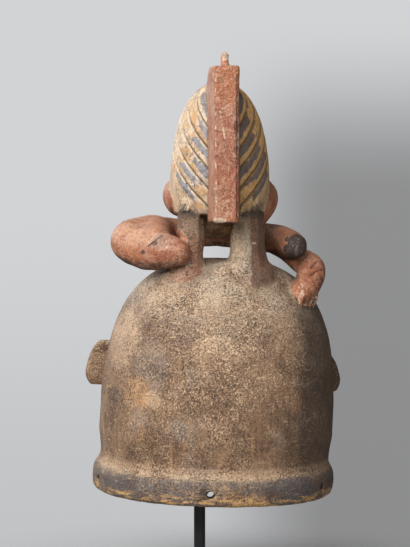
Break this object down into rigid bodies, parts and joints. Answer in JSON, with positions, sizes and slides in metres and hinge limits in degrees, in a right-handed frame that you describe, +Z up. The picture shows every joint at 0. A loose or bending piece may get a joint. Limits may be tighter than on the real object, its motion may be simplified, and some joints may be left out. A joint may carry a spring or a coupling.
{
  "type": "helmet mask",
  "caption": "Carved wooden helmet mask with a calm face, a bird and a winding snake on its crown, on a rod and square foot.",
  "frame": {"origin": "centre of the foot's underside, on the rod's axis", "axes": "+Z up along the rod, +Y towards the mask's face, -Y towards its back"},
  "size_m": [0.2733, 0.2916, 0.5575],
  "materials": {
    "carved_wood": "matt, hand carved, with worn earth-colour paint and dust",
    "black_steel": "satin black"
  },
  "bodies": {
    "root": {"mask": "carved_wood", "stand_rod": "black_steel", "stand_foot": "black_steel"}
  },
  "joints": []
}
